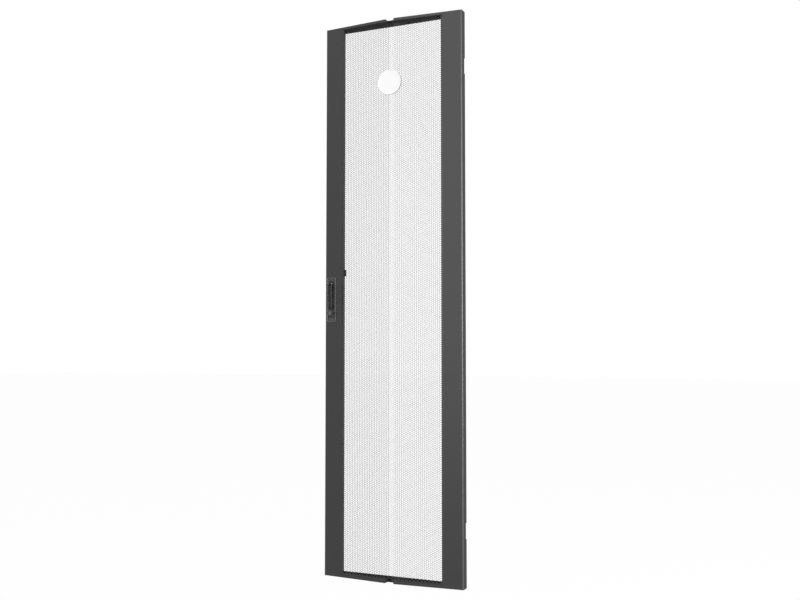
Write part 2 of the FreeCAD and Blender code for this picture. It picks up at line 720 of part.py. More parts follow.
# Drum: turns in the dish, carries the lever on its tenon and the pinion on its square spindle.
drum = new_body("drive_drum", HANDLE)
shaft = new_sketch(drum, "XZ_Plane", "-mount_depth")
circle(shaft, "0", "0", "bore_radius - running_gap")
pad(drum, shaft, "mount_depth + collar_front")
collar = new_sketch(drum, "XZ_Plane", "deck + seat_gap")
circle(collar, "0", "0", "collar_radius")
pad(drum, collar, "collar_front - deck - seat_gap")
neck = new_sketch(drum, "XZ_Plane", "collar_front")
rectangle(neck, "-tenon / 2", "tenon / 2", "-knuckle", "knuckle")
pad(drum, neck, "pin_line - collar_front")
round_end = new_sketch(drum, "YZ_Plane")
circle(round_end, "-pin_line", "0", "knuckle")
pad(drum, round_end, "tenon", both=True)
square = new_sketch(drum, "XZ_Plane", "-mount_depth")
rectangle(square, "-spindle / 2", "spindle / 2", "-spindle / 2", "spindle / 2")
pad(drum, square, "spindle_back - mount_depth", back=True)
cross = new_sketch(drum, "YZ_Plane")
circle(cross, "-pin_line", "0", "lever_pin_radius + running_gap")
pocket(drum, cross)

lever_pin = new_body("lever_pin", HANDLE)
section = new_sketch(lever_pin, "YZ_Plane")
circle(section, "-pin_line", "0", "lever_pin_radius")
pad(lever_pin, section, "lever_width + 2 * seat_gap", both=True)
for side in (-1, 1):
    cap = new_sketch(lever_pin, "YZ_Plane", f"{side} * (lever_width / 2 + seat_gap)")
    circle(cap, "-pin_line", "0", "pin_cap_radius")
    pad(lever_pin, cap, "pin_cap", back=side < 0)

# Lever: forked at its pin, hollow behind, its tip stepped back for the lock's tongue.
lever = new_body("handle_lever", HANDLE)
side_view = new_sketch(lever, "YZ_Plane")
outline(side_view, [
    ("-lever_back", "0"),
    ("-lever_back", "-lever_length"),
    ("-lever_tip", "-lever_length"),
    ("-pin_line - knuckle", "-lever_length / 3"),
    ("-pin_line - knuckle", "0"),
])
pad(lever, side_view, "lever_width", both=True)
lever_end = new_sketch(lever, "YZ_Plane")
circle(lever_end, "-pin_line", "0", "knuckle")
pad(lever, lever_end, "lever_width", both=True)
soften(lever, "Chamfer", "lever_slope", lambda middle, along, edge: (
    near(abs(middle.x), number("lever_width / 2")) and middle.y < -number("pin_line")
    and middle.z < 0 and abs(along.z) > 0.9 and edge.Length > number("lever_length / 4")))
fork = new_sketch(lever, "XZ_Plane")
rectangle(fork, "-tenon / 2 - fork_gap", "tenon / 2 + fork_gap", "-fork_reach", "2 * knuckle")
pocket(lever, fork)
lever_bore = new_sketch(lever, "YZ_Plane")
circle(lever_bore, "-pin_line", "0", "lever_pin_radius + running_gap")
pocket(lever, lever_bore)
step = new_sketch(lever, "YZ_Plane")
rectangle(
    step,
    "-2 * lever_tip",
    "tongue_gap - tongue_back",
    "-lever_length - step_length",
    "step_length - lever_length",
)
pocket(lever, step)
hollow = new_sketch(lever, "XZ_Plane", "lever_back")
rectangle(
    hollow,
    "lever_shell - lever_width / 2",
    "lever_width / 2 - lever_shell",
    "step_length + lever_shell - lever_length",
    "-fork_reach - lever_shell",
)
pocket(lever, hollow, "lever_tip - lever_back - lever_shell", back=True)

# Pinion with involute flanks, keyed to the spindle.
gear_module = number("gear_module")
pitch_radius = number("pitch_radius")
base_radius = pitch_radius * math.cos(math.radians(PRESSURE))
tip_radius = pitch_radius + gear_module
root_radius = pitch_radius - 1.25 * gear_module
play = number("backlash") / 2 / pitch_radius
half_tooth = math.pi / 2 / PINION_TEETH - play


def involute(radius):
    """Angle that the flank has turned through between the base circle and a radius."""
    slope = math.acos(base_radius / radius)
    return math.tan(slope) - slope


flank = []
for step in range(4):
    radius = base_radius + (tip_radius - base_radius) * step / 3
    flank.append((radius, half_tooth + involute(pitch_radius) - involute(radius)))
flank.insert(0, (root_radius, flank[0][1]))
teeth = []
for tooth in range(PINION_TEETH):
    middle = 2 * math.pi * tooth / PINION_TEETH
    for radius, turn in flank:
        teeth.append((radius, middle - turn))
    for radius, turn in reversed(flank):
        teeth.append((radius, middle + turn))
corners = [FreeCAD.Vector(r * math.cos(a), number("rod_front"), r * math.sin(a)) for r, a in teeth]
gear_width = FreeCAD.Vector(0, number("rod_thick"), 0)
blank = Part.Face(Part.makePolygon(corners + corners[:1])).extrude(gear_width)
key = number("spindle / 2 + spindle_fit")
key_corner = FreeCAD.Vector(-key, number("rod_front"), -key)
pinion = doc.addObject("Part::Feature", "drive_pinion")
pinion.Shape = blank.cut(Part.makeBox(2 * key, number("rod_thick"), 2 * key, key_corner))
place(pinion, HANDLE)
nodes.append(pinion)

washer = new_body("spindle_washer", HANDLE)
section = new_sketch(washer, "XZ_Plane", "-spindle_back")
rectangle(section, "-spindle_plate", "spindle_plate", "-spindle_plate", "spindle_plate")
pad(washer, section, "washer_thick", back=True)
spindle_screw = new_body("spindle_screw", HANDLE)
section = new_sketch(spindle_screw, "XZ_Plane", "-spindle_back - washer_thick")
hexagon(section, "0", "0", "1.4 * screw_flats")
pad(spindle_screw, section, "screw_head", back=True)

# Locking rods: flat bars with a rack on the edge that faces the pinion.
slope = math.tan(math.radians(PRESSURE))
tip_half = f"(tooth_pitch / 4 - {slope} * 0.8 * gear_module - backlash / 2)"
root_half = f"(tooth_pitch / 4 + {slope} * 1.25 * gear_module - backlash / 2)"
for label, side, way, end in (("upper_rod", "-1", "1", "rod_top"), ("lower_rod", "1", "-1", "rod_foot")):
    rod = new_body(label, HANDLE)
    bar = new_sketch(rod, "XZ_Plane", "-rod_front")
    outline(bar, [
        (f"{side} * rack_root", f"{way} * (-rack_below)"),
        (f"{side} * rack_root", f"{way} * ({end})"),
        (f"{side} * (rod_outer - rod_bevel)", f"{way} * ({end})"),
        (f"{side} * rod_outer", f"{way} * ({end} - 2 * rod_bevel)"),
        (f"{side} * rod_outer", f"{way} * (-rack_below)"),
    ])
    pad(rod, bar, "rod_thick", back=True)
    tooth = new_sketch(rod, "XZ_Plane", "-rod_front")
    first_tooth = f"{way} * (-1.5 * tooth_pitch)"
    outline(tooth, [
        (f"{side} * (rack_root + gear_module / 4)", f"{first_tooth} - {root_half}"),
        (f"{side} * rack_root", f"{first_tooth} - {root_half}"),
        (f"{side} * rack_tip", f"{first_tooth} - {tip_half}"),
        (f"{side} * rack_tip", f"{first_tooth} + {tip_half}"),
        (f"{side} * rack_root", f"{first_tooth} + {root_half}"),
        (f"{side} * (rack_root + gear_module / 4)", f"{first_tooth} + {root_half}"),
    ])
    first = pad(rod, tooth, "rod_thick", back=True)
    doc.recompute()
    rack = rod.newObject("PartDesign::LinearPattern", f"{label}_rack")
    rack.Originals = [first]
    rack.Direction = (origin_part(rod, "Z_Axis"), [""])
    rack.Reversed = way == "-1"
    rack.Mode = "Extent"
    rack.setExpression("Length", formula(f"{RACK_TEETH - 1} * tooth_pitch"))
    rack.Occurrences = RACK_TEETH
    rod.Tip = rack

    for name, spot in (("near", "guide_near"), ("far", f"{end} + rod_clear - guide_far")):
        guide = new_body(f"{label}_guide_{name}", HANDLE)
        block = new_sketch(guide, "XY_Plane", f"{way} * ({spot}) - guide_height / 2")
        rectangle(
            block,
            f"{side} * (rack_root - slide_gap - guide_wall)",
            f"{side} * (rod_outer + slide_gap + guide_wall)",
            "skin",
            "rod_back + slide_gap + guide_wall",
        )
        rectangle(
            block,
            f"{side} * (rack_root - slide_gap)",
            f"{side} * (rod_outer + slide_gap)",
            "rod_front - slide_gap",
            "rod_back + slide_gap",
        )
        pad(guide, block, "guide_height")

# Key lock: a plug in the dish's boss, whose tongue turns up in front of the lever's tip.
plug = new_body("lock_plug", HANDLE)
barrel = new_sketch(plug, "XZ_Plane", "-lock_back")
circle(barrel, "0", "-lock_drop", "lock_radius - running_gap")
pad(plug, barrel, "lock_back + tongue_front")
plug_head = new_sketch(plug, "XZ_Plane", "tongue_front")
circle(plug_head, "0", "-lock_drop", "lock_head_radius")
pad(plug, plug_head, "lock_head")
key_slot = new_sketch(plug, "XZ_Plane", "tongue_front + lock_head")
rectangle(
    key_slot,
    "-key_width / 2",
    "key_width / 2",
    "-lock_drop - key_length / 2",
    "key_length / 2 - lock_drop",
)
pocket(plug, key_slot, "2 * lock_head")

tongue = new_body("lock_tongue", HANDLE)
eye = new_sketch(tongue, "XZ_Plane", "tongue_back")
circle(eye, "0", "-lock_drop", "lock_head_radius")
pad(tongue, eye, "tongue_thick")
blade = new_sketch(tongue, "XZ_Plane", "tongue_back")
rectangle(
    blade,
    "0",
    "tongue_reach",
    "-lock_drop - tongue_width / 2",
    "tongue_width / 2 - lock_drop",
)
pad(tongue, blade, "tongue_thick")
eye_hole = new_sketch(tongue, "XZ_Plane")
circle(eye_hole, "0", "-lock_drop", "lock_radius")
pocket(tongue, eye_hole)

lock_washer = new_body("lock_washer", HANDLE)
section = new_sketch(lock_washer, "XZ_Plane", "-lock_back")
rectangle(section, "-lock_plate", "lock_plate", "-lock_drop - lock_plate", "lock_plate - lock_drop")
pad(lock_washer, section, "washer_thick", back=True)
lock_screw = new_body("lock_screw", HANDLE)
section = new_sketch(lock_screw, "XZ_Plane", "-lock_back - washer_thick")
hexagon(section, "0", "-lock_drop", "1.4 * screw_flats")
pad(lock_screw, section, "screw_head", back=True)

# Earth stud and its nut on the hinge side.
stud = new_body("earth_stud", RIGHT_FACE)
section = new_sketch(stud, "XZ_Plane", "-skin")
circle(section, "-stud_inset", "stud_height", "stud_radius")
pad(stud, section, "stud_length", back=True)
nut = new_body("earth_nut", RIGHT_FACE)
section = new_sketch(nut, "XZ_Plane", "-skin - nut_place")
hexagon(section, "-stud_inset", "stud_height", "nut_flats")
circle(section, "-stud_inset", "stud_height", "stud_radius + running_gap")
pad(nut, section, "nut_thick", back=True)

doc.recompute()
faults = []
for item in doc.Objects:
    if "Invalid" in item.State or "Error" in item.State:
        faults.append(item.Label)
for node in nodes:
    if node.Shape.isNull() or not node.Shape.isValid():
        faults.append(node.Label)
if faults:
    raise RuntimeError(f"not built: {faults}")

os.makedirs("parts", exist_ok=True)
for node in nodes:
    node.Shape.exportStep(f"parts/{node.Label}.step")
    print(node.Label, len(node.Shape.Solids), round(node.Shape.Volume))
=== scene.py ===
# %% [markdown]
# # A perforated rack door
# The door is a tall folded sheet of steel with two perforated halves, a swing handle in a dish
# and an inner frame. The CAD model is loaded first as a fixed frame. Every piece made here is
# built in metres in that same frame, so that it sits where the solid it stands for sits.

# %% Load the frame
import json
import math

import bmesh
import bpy
from mathutils import Matrix, Vector


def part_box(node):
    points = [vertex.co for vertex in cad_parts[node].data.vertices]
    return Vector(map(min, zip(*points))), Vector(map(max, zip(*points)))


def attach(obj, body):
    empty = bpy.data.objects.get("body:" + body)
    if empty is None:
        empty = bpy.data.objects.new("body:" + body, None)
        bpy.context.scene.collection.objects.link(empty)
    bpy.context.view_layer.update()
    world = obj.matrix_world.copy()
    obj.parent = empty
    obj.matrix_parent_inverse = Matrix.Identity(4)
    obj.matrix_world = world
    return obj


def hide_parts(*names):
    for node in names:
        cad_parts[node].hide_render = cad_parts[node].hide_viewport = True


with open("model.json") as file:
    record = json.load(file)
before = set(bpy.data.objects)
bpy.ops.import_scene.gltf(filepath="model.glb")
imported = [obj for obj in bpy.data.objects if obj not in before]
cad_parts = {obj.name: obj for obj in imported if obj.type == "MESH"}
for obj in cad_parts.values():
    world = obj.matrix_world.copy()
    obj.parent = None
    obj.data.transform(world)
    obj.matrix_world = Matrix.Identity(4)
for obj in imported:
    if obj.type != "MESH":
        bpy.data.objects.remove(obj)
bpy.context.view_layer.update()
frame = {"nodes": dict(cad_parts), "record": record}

# %% [markdown]
# ## Where the leaf is
# A sheet-metal worker measures a door from its folds. Here too, the leaf is built from its own
# corner: x counts from the crease in its middle, y from the side folds towards the back, and z
# from the bottom edge. Its place is read from the box of the CAD solid, so that the two agree.

# %% Leaf measures
MM = 0.001
CREASE_DEPTH = 24 * MM
RETURN_DEPTH = 35 * MM
SKIN = 1.2 * MM
skin_low, skin_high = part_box("door_skin")
HALF = (skin_high.x - skin_low.x) / 2
HEIGHT = skin_high.z - skin_low.z
FOLD = math.atan2(CREASE_DEPTH, HALF)
FACE = math.hypot(CREASE_DEPTH, HALF)
LEAF = Vector((skin_low.x + HALF, skin_high.y - RETURN_DEPTH, skin_low.z))
print(f"leaf {2 * HALF / MM:.0f} x {HEIGHT / MM:.0f} mm")
print(f"each half turned {math.degrees(FOLD):.2f} degrees")

# %% [markdown]
# ## Shader sums as plain Python
# A finish varies over a surface: a little grain, a little unevenness of gloss. In Blender that
# is a net of small nodes, which is hard to read. `Link` wraps the output of a node, and Python's
# own signs add the Math nodes. `Finish.node` makes every other kind of node.

# %% Shader helpers


class Link:
    """An output socket that can be used in a sum."""

    def __init__(self, finish, socket):
        self.finish = finish
        self.socket = socket

    def math(self, operation, first, second):
        """A Math node between two values, of which at least one is a link."""
        return self.finish.node("ShaderNodeMath", {"operation": operation}, {0: first, 1: second})

    def __add__(self, other):
        return self.math("ADD", self, other)

    __radd__ = __add__

    def __mul__(self, other):
        return self.math("MULTIPLY", self, other)

    __rmul__ = __mul__


class Finish:
    """A material, or the world, that is being wired up."""

    def __init__(self, owner):
        owner.use_nodes = True
        self.owner = owner
        self.tree = owner.node_tree
        self.tree.nodes.clear()

    def node(self, kind, settings=None, sockets=None, output=0):
        """A node with its settings, then its sockets' values or links; gives one output."""
        made = self.tree.nodes.new(kind)
        for name, value in (settings or {}).items():
            setattr(made, name, value)
        for name, value in (sockets or {}).items():
            if isinstance(value, Link):
                self.tree.links.new(value.socket, made.inputs[name])
            else:
                made.inputs[name].default_value = value
        return Link(self, made.outputs[output]) if made.outputs else made

    def place(self):
        """Object coordinates: a pattern then stays on its piece wherever the camera is."""
        return self.node("ShaderNodeTexCoord", output="Object")

    def noise(self, scale, detail=2.0):
        """Cloudy values from 0 to 1, with so many clouds to the metre."""
        sockets = {"Vector": self.place(), "Scale": scale, "Detail": detail}
        return self.node("ShaderNodeTexNoise", {}, sockets)

    def tint(self, factor, dark, light):
        """A colour between two, chosen by a value from 0 to 1."""
        sockets = {"Factor": factor, 6: (*dark, 1), 7: (*light, 1)}
        return self.node("ShaderNodeMix", {"data_type": "RGBA"}, sockets, output=2)

    def bump(self, height, strength, distance):
        """A normal that follows small heights, given in metres by the distance."""
        sockets = {"Height": height, "Strength": strength, "Distance": distance}
        return self.node("ShaderNodeBump", {}, sockets)

    def surface(self, **sockets):
        """The finished surface; underscores in the names stand for spaces."""
        named = {name.replace("_", " "): value for name, value in sockets.items()}
        shader = self.node("ShaderNodeBsdfPrincipled", {}, named)
        self.node("ShaderNodeOutputMaterial", {}, {"Surface": shader})
        return self.owner


def grey(level, blue=0.0):
    """A grey with a little more or less blue in it."""
    return (level, level, level + blue)


print("shader helpers ready")

# %% [markdown]
# ## Powder coat
# The sheet is powder coated in dark grey: the powder melts into a skin with a fine orange peel
# and a soft gloss. One noise of about a millimetre gives the peel, a slow one gives patches that
# are a shade lighter, as on any large sprayed sheet. An image texture would show its repeats.
# The side returns are seen at a low angle, where a gloss would mirror the white room. Their coat
# has its gloss cut nearly to matt, as painted shade that keeps them dark beside the fold, and the
# coat on the round of the fold is a lighter grey with a full gloss, as a painted highlight.

# %% Powder coat
PEEL_GRAINS = 1100
COAT_PATCHES = 5
PEEL_DEPTH = 0.2 * MM


def powder_coat(name, dark, light, gloss=0.36):
    """A coat between two greys, each with a trace of blue."""
    coat = Finish(bpy.data.materials.new(name))
    grain = coat.noise(PEEL_GRAINS, 3)
    patches = coat.noise(COAT_PATCHES)
    shade = 0.7 * patches + 0.3 * grain
    return coat.surface(
        Base_Color=coat.tint(shade, grey(dark, 0.001), grey(light, 0.001)),
        Roughness=0.36 + 0.08 * grain,
        Specular_IOR_Level=gloss,
        Normal=coat.bump(grain, 0.12, PEEL_DEPTH),
    )


COAT = powder_coat("dark grey powder coat", 0.029, 0.036)
FRAME_COAT = powder_coat("inner frame powder coat", 0.026, 0.033)
# painted shade on the returns (gloss cut) and a painted highlight on the folds (lighter, full
# gloss)
SHADED_RETURN_COAT = powder_coat("coat of the returns, gloss cut as painted shade", 0.029, 0.036, gloss=0.04)
FOLD_HIGHLIGHT_COAT = powder_coat("glossy coat of the folds", 0.034, 0.042, gloss=1.0)
print("powder coats:", COAT.name, FRAME_COAT.name, SHADED_RETURN_COAT.name, FOLD_HIGHLIGHT_COAT.name)

# %% [markdown]
# ## Moulded plastic
# The dish of the handle and the rod guides are black mouldings. Their tool was spark eroded, so
# the skin has a fine even texture, finer and flatter than the coat's peel. The same recipe in
# other greys gives the lever and the badge, and the lighter greys that are painted highlights and
# painted light on the dish and the lever's flank, and the grey that is painted shade on the badge's
# edge.

# %% Moulded plastic
SPARK_GRAINS = 2600
MOULD_CLOUDS = 30
SPARK_DEPTH = 0.1 * MM


def moulded(name, dark, light, roughness, gloss=0.4):
    """A textured plastic between two colours."""
    plastic = Finish(bpy.data.materials.new(name))
    spark = plastic.noise(SPARK_GRAINS, 2)
    cloud = plastic.noise(MOULD_CLOUDS)
    return plastic.surface(
        Base_Color=plastic.tint(cloud, dark, light),
        Roughness=roughness + 0.1 * spark,
        Specular_IOR_Level=gloss,
        Normal=plastic.bump(spark, 0.15, SPARK_DEPTH),
    )


DISH_BLACK = moulded("black textured moulding", grey(0.046, 0.001), grey(0.055, 0.001), 0.42)
GUIDE_BLACK = moulded("black guide moulding", grey(0.036), grey(0.044), 0.5)
LEVER_BLACK = moulded("satin black lever", grey(0.009), grey(0.012), 0.3, gloss=0.3)
# painted shade: a grey for the sloped edge of the white badge
BADGE_EDGE_SHADE = moulded("painted shade on the edge of the badge", grey(0.19), grey(0.21), 0.5)
BADGE_WHITE = moulded("plain white badge", grey(0.91), grey(0.94), 0.4)
# painted highlight: a lighter grey for the rim and the up-facing ramp of the dish
DISH_RIM_HIGHLIGHT = moulded("painted highlight on the rim of the dish", grey(0.100, 0.001), grey(0.115, 0.001), 0.4)
# painted highlight: a light grey for the left inner edge of the rim
RIM_EDGE_HIGHLIGHT = moulded("painted highlight on the rim's inner edge", grey(0.34), grey(0.38), 0.4)
# painted light: a lighter grey for the shadowed floor of the finger pocket
POCKET_PAINTED_LIGHT = moulded("pocket floor lightened as painted light", grey(0.17), grey(0.19), 0.45)
# painted highlight: the lever's flank is a lighter black than its front
LEVER_FLANK_HIGHLIGHT = moulded("lever flank lightened as a painted highlight", grey(0.018), grey(0.022), 0.4)
print("mouldings:", DISH_BLACK.name, GUIDE_BLACK.name, LEVER_BLACK.name, BADGE_WHITE.name)
print("on their edges:", DISH_RIM_HIGHLIGHT.name, RIM_EDGE_HIGHLIGHT.name, LEVER_FLANK_HIGHLIGHT.name, BADGE_EDGE_SHADE.name)
print("inside the dish:", POCKET_PAINTED_LIGHT.name)

# %% [markdown]
# ## Bare and plated metal
# Rods, clamps and screws are zinc plated, pins are turned steel, the lock's face is dark nickel,
# and the lever's pin is polished, so that its end shows as a bright spot beside the black lever.
# Plating is cloudy: its gloss and tone drift over a few millimetres. Fine scratches along the
# piece come from a noise that is stretched, by a Mapping node, along the length of the piece.

# %% Metals
PLATE_CLOUDS = 70
SCRATCHES = 3000.0
SCRATCH_DEPTH = 0.05 * MM
LENGTHWAYS = (1, 1, 0.03)
ALL_WAYS = (1, 1, 1)


def metal(name, dark, light, roughness, stretch=ALL_WAYS):
    """A metal between two colours, with its scratches stretched along the piece."""
    plate = Finish(bpy.data.materials.new(name))
    cloud = plate.noise(PLATE_CLOUDS, 3)
    along = plate.node("ShaderNodeMapping", {}, {"Vector": plate.place(), "Scale": stretch})
    sockets = {"Vector": along, "Scale": SCRATCHES, "Detail": 2.0}
    scratch = plate.node("ShaderNodeTexNoise", {}, sockets)
    return plate.surface(
        Base_Color=plate.tint(cloud, dark, light),
        Metallic=1.0,
        Roughness=roughness + 0.14 * cloud + 0.08 * scratch,
        Normal=plate.bump(scratch, 0.06, SCRATCH_DEPTH),
    )


ZINC = metal("zinc plating", grey(0.46, -0.01), grey(0.60, -0.02), 0.26, LENGTHWAYS)
STEEL = metal("turned steel", grey(0.50), grey(0.60), 0.16)
NICKEL = metal("dark satin nickel", grey(0.13), grey(0.17), 0.24)
POLISHED = metal("polished pin", grey(0.86), grey(0.92), 0.10)
print("metals:", ZINC.name, STEEL.name, NICKEL.name, POLISHED.name)

# %% [markdown]
# ## From a mesh to a piece
# Each piece ends the same way: its mesh becomes an object at the origin, gets its finish, rides
# on a CAD body and hides the solid it stands for. Smooth shading with sharp edges beyond a set
# angle keeps flat sheets flat and bends round.

# %% Piece helper
FINISHES = {
    "powder_coat": COAT,
    "badge": BADGE_WHITE,
    "dish": DISH_BLACK,
    "lever": LEVER_BLACK,
    "plated": ZINC,
    "steel": STEEL,
    "lock_face": NICKEL,
    "guide": GUIDE_BLACK,
}


def piece(name, bm, slot, body="door", nodes=(), finish=None, more=(), smooth=40):
    """Turn a bmesh into a finished piece of the door."""
    mesh = bpy.data.meshes.new(name)
    bm.to_mesh(mesh)
    bm.free()
    mesh.materials.append(finish or FINISHES[slot])
    for other in more:
        mesh.materials.append(other)
    mesh.shade_smooth()
    mesh.set_sharp_from_angle(angle=math.radians(smooth))
    made = bpy.data.objects.new(name, mesh)
    bpy.context.scene.collection.objects.link(made)
    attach(made, body)
    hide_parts(*nodes)
    print(f"{name}: {len(mesh.polygons)} faces")
    return made


def thicken(made, folded):
    """Give a sheet its thickness, inwards from its outer face, kept even round any folds."""
    wall = made.modifiers.new("sheet thickness", "SOLIDIFY")
    wall.thickness = SKIN
    wall.offset = -1
    wall.use_even_offset = folded


def flatten_shading(made):
    """Let the large faces rule the shading, so that flats look flat beside rounded edges."""
    shading = made.modifiers.new("flat shading", "WEIGHTED_NORMAL")
    shading.keep_sharp = True
    shading.weight = 100


def round_edges(bm, edges, radius, segments, clamp=False):
    """Give the edges of a bmesh a radius."""
    bmesh.ops.bevel(
        bm,
        geom=edges,
        offset=radius,
        offset_type="OFFSET",
        segments=segments,
        profile=0.5,
        affect="EDGES",
        clamp_overlap=clamp,
        material=-1,
    )


def on_face(distance):
    """The point of the folded face at a distance from the crease, measured along the face."""
    side = math.copysign(1, distance)
    across = abs(distance)
    return Vector((side * across * math.cos(FOLD), across * math.sin(FOLD) - CREASE_DEPTH, 0))


print("piece helper ready")

# %% [markdown]
# ## The folded skin
# On the real door one blank is punched, then folded: a shallow crease in the middle, a return
# along each side and a flange at top and bottom. It could be cut from a box with booleans, but
# sheet metal is easier as what it is: a line that is swept upwards. The line is the section of
# the door. It is extruded from level to level, so every cut-out is a face between two levels
# that can be deleted.

# %% Section and levels of the skin
FIELD_OUT = 220.5 * MM / math.cos(FOLD)
MARGIN = 11 * MM
NOTCH_MOUTH = 19 * MM
NOTCH_FLOOR = 9 * MM
NOTCH_DROP = 18.5 * MM
FLANGE_END = FACE - 4.6 * MM
FLANGE_DEPTH = 27 * MM
HINGE_NOTCH = 7 * MM
CUT_SIDES = (11.4 * MM, 47.6 * MM)
CUT_ENDS = (1023.9 * MM, 1191.1 * MM)
HINGE_FROM_END = 215 * MM
HINGE_MIDDLES = (HINGE_FROM_END, HEIGHT - HINGE_FROM_END)
HINGE_HALF = 30.5 * MM
TOUCH = 1e-6

face_stops = [NOTCH_MOUTH, FIELD_OUT, FLANGE_END]
section = [Vector((-HALF, RETURN_DEPTH, 0)), Vector((-HALF, 0, 0))]
section += [on_face(inset - FACE) for inset in CUT_SIDES]
section += [on_face(-stop) for stop in reversed(face_stops[:2])]
section.insert(2, on_face(-FLANGE_END))
section += [Vector((0, -CREASE_DEPTH, 0))]
section += [on_face(stop) for stop in face_stops]
section += [Vector((HALF, y, 0)) for y in (0, RETURN_DEPTH - HINGE_NOTCH, RETURN_DEPTH)]

levels = [MARGIN, NOTCH_DROP, HEIGHT - NOTCH_DROP, HEIGHT - MARGIN, HEIGHT, *CUT_ENDS]
for middle in HINGE_MIDDLES:
    levels += [middle - HINGE_HALF, middle + HINGE_HALF]
levels.sort()
print(len(section), "points across,", len(levels), "levels up")

# %% [markdown]
# ### The sweep
# The section is extruded once for each level. Which side of a swept sheet is its front depends on
# the order of the points, so the faces are counted and turned over if most of them look back.

# %% Sweep the section upwards
skin = bmesh.new()
points = [skin.verts.new(point) for point in section]
rim = [skin.edges.new(pair) for pair in zip(points, points[1:])]
height = 0
for level in levels:
    swept = bmesh.ops.extrude_edge_only(skin, edges=rim)["geom"]
    moved = [item for item in swept if isinstance(item, bmesh.types.BMVert)]
    bmesh.ops.translate(skin, verts=moved, vec=(0, 0, level - height))
    top = set(moved)
    rim = [item for item in swept if isinstance(item, bmesh.types.BMEdge)]
    rim = [edge for edge in rim if all(vert in top for vert in edge.verts)]
    height = level
skin.normal_update()
if sum(face.normal.y for face in skin.faces) > 0:
    bmesh.ops.reverse_faces(skin, faces=skin.faces[:])
print("swept sheet:", len(skin.faces), "faces")

# %% [markdown]
# ### Cut-outs
# A test says whether a point of the sheet lies in a window. The faces that pass are deleted, and
# the relief notch at each end of the crease gets its sloping sides by moving two points of each.

# %% Cut the windows and notches


def cut_away(point):
    """True where the blank was punched out."""
    across, deep, up = point
    from_end = min(up, HEIGHT - up)
    on_front = deep < 0
    distance = abs(across) / math.cos(FOLD)
    if on_front and distance < FIELD_OUT and from_end > MARGIN:
        return True
    if on_front and distance < NOTCH_MOUTH and from_end < NOTCH_DROP:
        return True
    beside_handle = CUT_SIDES[0] < FACE + math.copysign(distance, across) < CUT_SIDES[1]
    if on_front and beside_handle and CUT_ENDS[0] < up < CUT_ENDS[1]:
        return True
    behind_notch = across > 0 and deep > RETURN_DEPTH - HINGE_NOTCH
    return behind_notch and any(abs(up - middle) < HINGE_HALF for middle in HINGE_MIDDLES)


punched = [face for face in skin.faces if cut_away(face.calc_center_median())]
bmesh.ops.delete(skin, geom=punched, context="FACES")
notch_at_margin = NOTCH_MOUTH - (NOTCH_MOUTH - NOTCH_FLOOR) * MARGIN / NOTCH_DROP
for side in (-1, 1):
    foot = on_face(side * NOTCH_MOUTH)
    slide = on_face(side * notch_at_margin) - foot
    corners = [v for v in skin.verts if (v.co.xy - foot.xy).length < TOUCH]
    corners = [v for v in corners if abs(min(v.co.z, HEIGHT - v.co.z) - MARGIN) < TOUCH]
    bmesh.ops.translate(skin, verts=corners, vec=slide)
print("punched", len(punched), "faces")

# %% [markdown]
# ### Flanges and bends
# The flanges are the top and bottom edges of the sheet, extruded to the back. Then the folds are
# bevelled with a few segments: a press brake never makes a sharp corner, and this small radius
# is what catches the light along the edge of the door.

# %% Fold the flanges and round the bends
SIDE_BEND = 3.7 * MM
EDGE_BEND = 1.0 * MM


def at_end(edge):
    """True for an edge of the sheet that a flange hangs on."""
    ends = [min(v.co.z, HEIGHT - v.co.z) for v in edge.verts]
    reach = [abs(v.co.x) / math.cos(FOLD) for v in edge.verts]
    inside = min(reach) > NOTCH_MOUTH - TOUCH and max(reach) < FLANGE_END + TOUCH
    return max(ends) < TOUCH and inside


def standing(edge, across, deep):
    """True for an upright edge over a point of the section."""
    return all(abs(abs(v.co.x) - across) < TOUCH and abs(v.co.y - deep) < TOUCH for v in edge.verts)


hems = [edge for edge in skin.edges if at_end(edge)]
folded = bmesh.ops.extrude_edge_only(skin, edges=hems)["geom"]
for vert in folded:
    if isinstance(vert, bmesh.types.BMVert):
        vert.co.y = FLANGE_DEPTH
bends = (
    (SIDE_BEND, 6, [edge for edge in skin.edges if standing(edge, HALF, 0)]),
    (EDGE_BEND, 3, hems),
)
for radius, segments, edges in bends:
    round_edges(skin, edges, radius, segments)
bmesh.ops.translate(skin, verts=skin.verts[:], vec=LEAF)
skin.normal_update()
print("folded sheet:", len(skin.faces), "faces")

# %% [markdown]
# ### Coats of the skin
# The way a face looks says which coat it has: the returns look sideways and take the coat with
# painted shade, and the rounds of the folds, which look more to the side than the two halves of the
# face do, take the coat with a painted highlight.

# %% Coat the folded skin
RETURN_TILT = 0.99
ROUND_TILT = 1.5 * math.sin(FOLD)
# returns get the coat with painted shade, rounds of the folds the coat with a painted highlight
for face in skin.faces:
    sideways = abs(face.normal.x)
    if sideways > RETURN_TILT:
        face.material_index = 1
    elif sideways > ROUND_TILT:
        face.material_index = 2
coats = [SHADED_RETURN_COAT, FOLD_HIGHLIGHT_COAT]
skin_piece = piece("folded_skin", skin, "powder_coat", nodes=["door_skin"], more=coats, smooth=25)
thicken(skin_piece, folded=True)
flatten_shading(skin_piece)

# %% [markdown]
# ## The perforation
# Each half of the door has some seven thousand six-sided holes, staggered like a honeycomb, with
# less than a millimetre of steel between them. A pattern in the material would look flat from the
# side, so the holes are real: one six-sided cell is copied into a column, the column into a
# field, and the cells are merged where they touch.

# %% One field of cells
CELL_STEP = 7.80 * MM
CELL_RISE = 8.29 * MM
COLUMNS = 28
ROWS = 265
WEB = 0.63 * MM
SLIM_WEB = 0.36 * MM
BROAD_WEB = 0.85 * MM
CELL_REACH = CELL_STEP * 2 / 3
MERGE_GAP = 0.2 * MM


